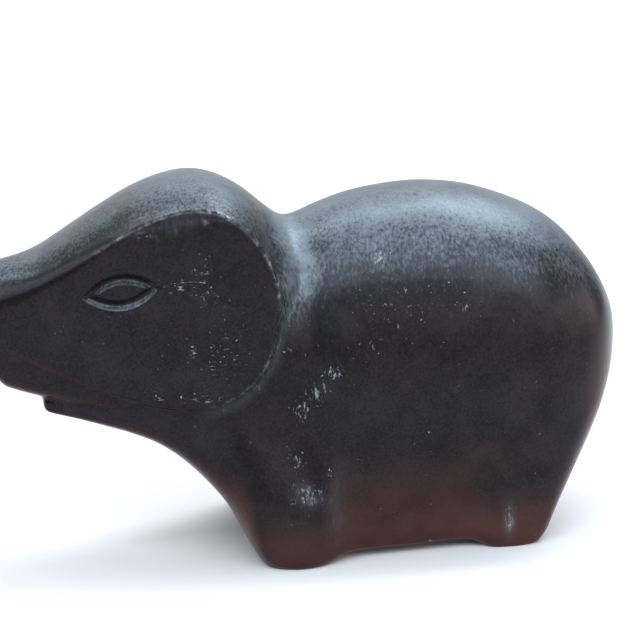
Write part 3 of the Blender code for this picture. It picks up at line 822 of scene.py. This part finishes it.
# the thin painted highlight that runs along the whole edge
THINNEST_EDGE_HIGHLIGHT = 0.35
rim_start = np.where(z > CHEEK_BACK_HEIGHT, -40, -23)
edge_wear_and_highlight = np.maximum(scuffs_at(EDGE_SCUFFS, x, z), THINNEST_EDGE_HIGHLIGHT)
edge_wear_and_highlight *= between(rim_start, rim_start + 6, x)
edge_highlight_and_wear = np.exp(-(((beyond_edge - EDGE_BAND[0]) / EDGE_BAND[1]) ** 2)) * edge_wear_and_highlight
wear_and_light_maps = {
    # rubbed wear together with painted sheen and painted highlights
    "wear_and_sheen": np.maximum.reduce([rubbed_and_sheen_up, jaw_painted_highlight, BEVEL_HIGHLIGHT * bevel_highlight, eye_line_highlight, wear_and_light_patches]),
    "scuffed": np.where(y < 0, scuffs_at(SCUFFS_LEFT, x, z), scuffs_at(SCUFFS_RIGHT, x, z)),
    # painted edge highlight with worn spots, and the painted foot line of the bevel
    "edge": np.maximum(edge_highlight_and_wear, foot_line_highlight) * (np.abs(y) > CHEEK_SIDE),
    # painted warm reflection from below
    "warm_reflection": np.maximum.reduce([below, under, ends]),
}
for name, values in wear_and_light_maps.items():
    layer = elephant.data.attributes.new(name, "FLOAT", "POINT")
    layer.data.foreach_set("value", values.astype(np.float32))
    print(name, "covers", round(100 * float((values > 0.5).mean())), "% of the points")

# %% [markdown]
# ## Dark patina
#
# On the real one the patina is a thin dark coat on the metal, from acids, wax or age. It could be an
# image, painted and wrapped on. Here it is built from noise, which has no seams and no fixed resolution,
# and from the maps of wear. The material starts from one shader and a helper that adds a node. Constants
# go straight on the sockets.

# %% Start the material
metal = bpy.data.materials.new("dark_metal")
metal.use_nodes = True
tree = metal.node_tree
shader = tree.nodes["Principled BSDF"]


def node(kind, sockets, **settings):
    """Adds a node. A socket takes a constant or another node's output."""
    made = tree.nodes.new(kind)
    for name, value in settings.items():
        setattr(made, name, value)
    for name, value in sockets.items():
        if isinstance(value, bpy.types.NodeSocket):
            tree.links.new(value, made.inputs[name])
        else:
            made.inputs[name].default_value = value
    return made


print("material", metal.name)

# %% [markdown]
# Noise is laid in the object's own space, in patches of a given size in metres, so that the grain has
# its real size. A smooth step then picks out the part of it that is wanted.

# %% Noise in real sizes
here = node("ShaderNodeTexCoord", {}).outputs["Object"]


def speckle(across, tall=1.0, detail=2.0):
    """Noise in patches this far across, in metres, and this many times as tall."""
    scale = (1 / across, 1 / across, 1 / (across * tall))
    place = node("ShaderNodeMapping", {"Vector": here, "Scale": scale}).outputs["Vector"]
    made = node("ShaderNodeTexNoise", {"Vector": place, "Scale": 1.0, "Detail": detail, "Roughness": 0.6})
    return made.outputs["Fac"]


def step(value, low, high):
    """0 below low, 1 above high, and a smooth step from one to the other."""
    sockets = {"Value": value, "From Min": low, "From Max": high}
    return node("ShaderNodeMapRange", sockets, interpolation_type="SMOOTHSTEP").outputs["Result"]


print("noise is laid on", here.node.name)

# %% [markdown]
# Sums with sockets are made by Math nodes. Short names for them let the patina be read as a formula.

# %% Sums and blends
def arithmetic(operation, a, b):
    return node("ShaderNodeMath", {0: a, 1: b}, operation=operation).outputs["Value"]


def plus(a, b):
    return arithmetic("ADD", a, b)


def minus(a, b):
    return arithmetic("SUBTRACT", a, b)


def times(a, b):
    return arithmetic("MULTIPLY", a, b)


def larger(a, b):
    return arithmetic("MAXIMUM", a, b)


def blend(factor, a, b):
    """Colour a where the factor is 0, and b where it is 1."""
    made = node("ShaderNodeMix", {0: factor, 6: a, 7: b}, data_type="RGBA")
    return made.outputs[2]


def read_map(name):
    """One of the maps of wear and of painted light."""
    return node("ShaderNodeAttribute", {}, attribute_name=name).outputs["Fac"]


print("maps to read:", ", ".join(wear_and_light_maps))

# %% [markdown]
# The coat itself is near black with a fine grain, like matt leather. One noise, in specks of under half
# a millimetre, and a second, in patches of 6 mm, choose between two blacks. Where the map says so, the
# painted warm reflection comes in as brown.

# %% The dark coat
BLACK = (0.0085, 0.0068, 0.0075, 1)
GREY_BLACK = (0.0195, 0.0165, 0.0178, 1)
# brown of the painted warm reflection from below
WARM_REFLECTION_BROWN = (0.068, 0.0225, 0.0175, 1)
GRAIN_ACROSS = 0.00042
PATCH_ACROSS = 0.006
grain = speckle(GRAIN_ACROSS, detail=3)
patches = speckle(PATCH_ACROSS, detail=2)
coat = blend(step(plus(times(grain, 0.6), times(patches, 0.4)), 0.35, 0.65), BLACK, GREY_BLACK)
# the painted warm reflection, in brown, where its map says so
coat = blend(times(read_map("warm_reflection"), step(patches, -0.4, 0.8)), coat, WARM_REFLECTION_BROWN)
print("coat from", BLACK[:3], "to", GREY_BLACK[:3], "with brown", WARM_REFLECTION_BROWN[:3])

# %% [markdown]
# Grey comes through in two ways. A haze follows the map softly: it is the painted sheen, with rubbed grey
# in it. Flecks add short strokes of wear that run down the flanks: the map and a stretched noise are added,
# and only what passes a threshold shows, so that the strokes stand close together where the wear is strong
# and singly at its border.

# %% Grey where it is rubbed, with painted sheen
# grey of rubbed metal, and of the painted sheen
WEAR_AND_SHEEN_GREY = (0.20, 0.235, 0.26, 1)
BROAD_ACROSS = 0.0035
strokes = speckle(GRAIN_ACROSS, tall=4.0, detail=4)
broad = speckle(BROAD_ACROSS, detail=4)
unevenness = plus(times(strokes, 0.7), times(broad, 0.3))
# painted sheen, with rubbed grey in it
sheen_haze = times(read_map("wear_and_sheen"), step(unevenness, 0.1, 0.85))
flecks = step(plus(times(read_map("wear_and_sheen"), 0.55), unevenness), 0.62, 0.92)
rubbed_and_sheen = plus(times(sheen_haze, 0.75), times(flecks, 0.28))
colour = blend(rubbed_and_sheen, coat, WEAR_AND_SHEEN_GREY)
print("worn grey", WEAR_AND_SHEEN_GREY[:3])

# %% [markdown]
# Scuffs are bare metal. A noise with a high threshold leaves only its peaks, and the map lowers the
# threshold where things knocked against the metal. On the cheek the peaks are flat dashes, as a file
# leaves, and behind it they are streaks that run down. Fine dots lie between them. Another noise makes
# some paler than others.

# %% Silver scuffs, dots, and the painted edge highlight
SILVER = (0.42, 0.45, 0.50, 1)
SCUFF_THRESHOLD = 0.80
SCUFF_THRESHOLD_DROP = 0.31  # where the map says 1
DOT_THRESHOLD = 0.76
DOT_THRESHOLD_DROP = 0.15
STREAKS_FROM = (CHEEK_BACK - 0.5, CHEEK_BACK + 0.5)  # squares along X: dashes before, streaks behind
dashes = speckle(0.0013, tall=0.30, detail=3)
streaks = speckle(0.00045, tall=3.0, detail=3)
along_body = node("ShaderNodeSeparateXYZ", {"Vector": here}).outputs["X"]
behind_cheek = step(along_body, *[shift + place * GRID for place in STREAKS_FROM])
peaks = node("ShaderNodeMix", {0: behind_cheek, 2: dashes, 3: streaks}).outputs[0]
threshold = minus(SCUFF_THRESHOLD, times(read_map("scuffed"), SCUFF_THRESHOLD_DROP))
scuffs = step(minus(peaks, threshold), 0.0, 0.13)
dot_threshold = minus(DOT_THRESHOLD, times(read_map("scuffed"), DOT_THRESHOLD_DROP))
dots = step(minus(speckle(0.0005, detail=1), dot_threshold), 0.0, 0.1)
# the painted highlight along the cheek's edge, with its worn spots, in silver
edge = times(read_map("edge"), step(speckle(0.0012, detail=3), 0.38, 0.62))
bare_and_edge_highlight = larger(larger(scuffs, dots), edge)
paling = plus(0.15, times(step(speckle(0.0015), 0.35, 0.65), 0.45))
colour = blend(times(bare_and_edge_highlight, paling), colour, SILVER)
print("silver", SILVER[:3])

# %% [markdown]
# The coat is half metal, half lacquer: it mirrors the lights, softly, but shows its own colour too.
# Rubbed metal and the painted sheen scatter the light more than the smooth coat, and the painted brown
# reflection is the dullest. A weak bump gives the grain a surface that is too fine for the mesh.

# %% Put the patina together
ROUGHNESS_RAMP = (-1.6, 3.4)  # gives 0.24 on the coat and 0.53 where it is rubbed through and where the sheen is painted
COAT_METALLIC = 0.45
WARM_REFLECTION_LESS_METALLIC = 0.35
BUMP_STRENGTH = 0.35
BUMP_HEIGHT = 0.00002
SPECULAR = 0.17
bump = {"Height": plus(grain, strokes), "Strength": BUMP_STRENGTH, "Distance": BUMP_HEIGHT}
grain_relief = node("ShaderNodeBump", bump)
tree.links.new(colour, shader.inputs["Base Color"])
tree.links.new(grain_relief.outputs["Normal"], shader.inputs["Normal"])
tree.links.new(step(rubbed_and_sheen, *ROUGHNESS_RAMP), shader.inputs["Roughness"])
# the painted warm reflection is made less metallic
metallic = minus(COAT_METALLIC, times(read_map("warm_reflection"), WARM_REFLECTION_LESS_METALLIC))
tree.links.new(metallic, shader.inputs["Metallic"])
shader.inputs["Specular IOR Level"].default_value = SPECULAR
elephant.data.materials.clear()
elephant.data.materials.append(metal)
print("patina made of", len(tree.nodes), "nodes")

# %% [markdown]
# ## Studio
#
# Small metal figures are often photographed on a sheet of pale paper that curves up behind them, so that
# no horizon line cuts the picture. The sheet here is much larger than the animal, and a bright light on
# its back wall makes the background almost white.

# %% Floor
def sweep(width, depth, height, radius):
    """A floor that curves up into a backdrop, as a sheet of paper hung behind a still life does."""
    turn = np.linspace(0, math.pi / 2, 13)
    curve = [(depth - radius + radius * math.sin(a), radius - radius * math.cos(a)) for a in turn]
    profile = [(-depth, 0.0)] + curve + [(depth, height)]
    corners = [(side * width / 2, across, up) for across, up in profile for side in (-1, 1)]
    faces = [(2 * i, 2 * i + 1, 2 * i + 3, 2 * i + 2) for i in range(len(profile) - 1)]
    mesh = bpy.data.meshes.new("studio_sweep")
    mesh.from_pydata(corners, [], faces)
    mesh.shade_smooth()
    obj = bpy.data.objects.new("studio_sweep", mesh)
    bpy.context.scene.collection.objects.link(obj)
    return obj


PALE = (0.72, 0.69, 0.67, 1)
PAPER_ROUGHNESS = 0.9
paper = bpy.data.materials.new("pale_paper")
paper.use_nodes = True
paper.node_tree.nodes["Principled BSDF"].inputs["Base Color"].default_value = PALE
paper.node_tree.nodes["Principled BSDF"].inputs["Roughness"].default_value = PAPER_ROUGHNESS
floor = sweep(width=3.0, depth=0.9, height=1.4, radius=0.35)
floor.data.materials.append(paper)
print("sweep of", len(floor.data.polygons), "faces")

# %% [markdown]
# Dark metal is mostly what it mirrors, so the lights are wide and soft: each one is drawn on the curves
# as a broad patch. The overhead and the window are cool and make the pale ridge of the back, the front
# sky rolls down the flank, and the front card lifts the planed cheek. A weak warm light from the side
# wakes up the painted brown reflection of the rump. The backdrop wash only lights the paper.

# %% Lights
def softbox(name, place, aim, width, height, power, colour):
    """A rectangular light, in metres and watts, that the camera doesn't see."""
    light = bpy.data.lights.new(name, "AREA")
    light.shape = "RECTANGLE"
    light.size = width
    light.size_y = height
    light.energy = power
    light.color = colour
    obj = bpy.data.objects.new(name, light)
    obj.location = place
    obj.rotation_euler = (Vector(aim) - Vector(place)).to_track_quat("-Z", "Y").to_euler()
    obj.visible_camera = False
    bpy.context.scene.collection.objects.link(obj)


COOL = (0.76, 0.88, 1.0)
softbox("overhead", (0.05, 0.25, 0.60), (0, 0.05, 0.03), 1.0, 0.9, 3.0, (0.84, 0.92, 1.0))
softbox("window", (0.32, 0.10, 0.54), (0, 0, 0.03), 0.5, 0.3, 2.0, COOL)
softbox("front_sky", (-0.1, -0.40, 0.50), (0, 0, 0.03), 1.7, 0.4, 8.5, COOL)
softbox("front_card", (0.25, -0.85, 0.22), (0, 0, 0.04), 1.4, 0.3, 2.2, (1.0, 0.93, 0.95))
softbox("warm_side", (0.50, -0.12, 0.10), (0, 0, 0.02), 0.4, 0.15, 0.5, (1.0, 0.86, 0.80))
softbox("backdrop_wash", (0, 0.2, 1.1), (0, 0.9, 0.3), 1.6, 0.3, 11.0, (0.86, 0.94, 1.0))
ROOM_COLOUR = (0.8, 0.86, 0.95, 1)
ROOM_STRENGTH = 0.16
world = bpy.data.worlds.new("studio")
world.use_nodes = True
world.node_tree.nodes["Background"].inputs["Color"].default_value = ROOM_COLOUR
world.node_tree.nodes["Background"].inputs["Strength"].default_value = ROOM_STRENGTH
bpy.context.scene.world = world
bpy.context.scene.view_settings.view_transform = "Standard"
print("lights:", [lamp.name for lamp in bpy.data.lights])

# %% [markdown]
# The camera stands about a forearm's length away, which gives the picture its strong perspective, a
# little above the animal and slightly towards its head. It is placed by two angles and a distance from
# the point that it looks at, and the lens follows from how much of the animal a pixel shows there.

# %% Camera
CAMERA_TURN = math.radians(-10.0)
CAMERA_RISE = math.radians(15.0)
CAMERA_ROLL = math.radians(1.8)
CAMERA_DISTANCE = 0.36
AIM_HEIGHT = 0.0365
METRES_PER_PIXEL = 0.000165
PICTURE_PIXELS = 640
SENSOR_WIDTH = 36  # mm
aim = Vector((shift, 0, AIM_HEIGHT))
level = math.cos(CAMERA_RISE)
back = Vector((math.sin(CAMERA_TURN) * level, -math.cos(CAMERA_TURN) * level, math.sin(CAMERA_RISE)))
lens = bpy.data.cameras.new("camera")
lens.sensor_width = SENSOR_WIDTH
lens.lens = SENSOR_WIDTH * CAMERA_DISTANCE / (PICTURE_PIXELS * METRES_PER_PIXEL)
lens.clip_start = 0.01
camera = bpy.data.objects.new("camera", lens)
camera.location = aim + back * CAMERA_DISTANCE
turned = back.to_track_quat("Z", "Y").to_matrix() @ Matrix.Rotation(-CAMERA_ROLL, 3, "Z")
camera.rotation_euler = turned.to_euler()
bpy.context.scene.collection.objects.link(camera)
bpy.context.scene.camera = camera
print("lens %.0f mm" % lens.lens)
